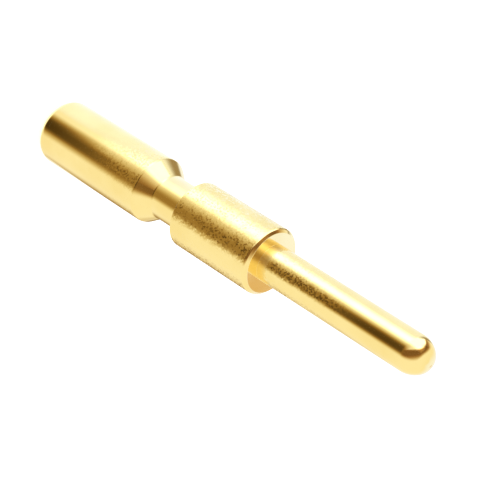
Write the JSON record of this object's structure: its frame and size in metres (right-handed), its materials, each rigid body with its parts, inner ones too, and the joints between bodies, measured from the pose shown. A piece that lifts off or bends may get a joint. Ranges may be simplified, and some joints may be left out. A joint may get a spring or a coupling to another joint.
{
  "type": "male crimp contact",
  "caption": "Gold-plated turned male crimp contact: wire barrel, necked groove for a retaining clip, long collar and a slim pin with a rounded tip.",
  "frame": {"origin": "centre of the crimp barrel's mouth", "axes": "+Z along the contact's axis, from the barrel's mouth to the tip of the pin; X and Y are free, because the contact is round"},
  "size_m": [0.0044, 0.0044, 0.0336],
  "materials": {
    "gold_plated_brass": "bright gold plating over fine turning marks"
  },
  "bodies": {
    "root": {"crimp_contact": "gold_plated_brass"}
  },
  "joints": []
}
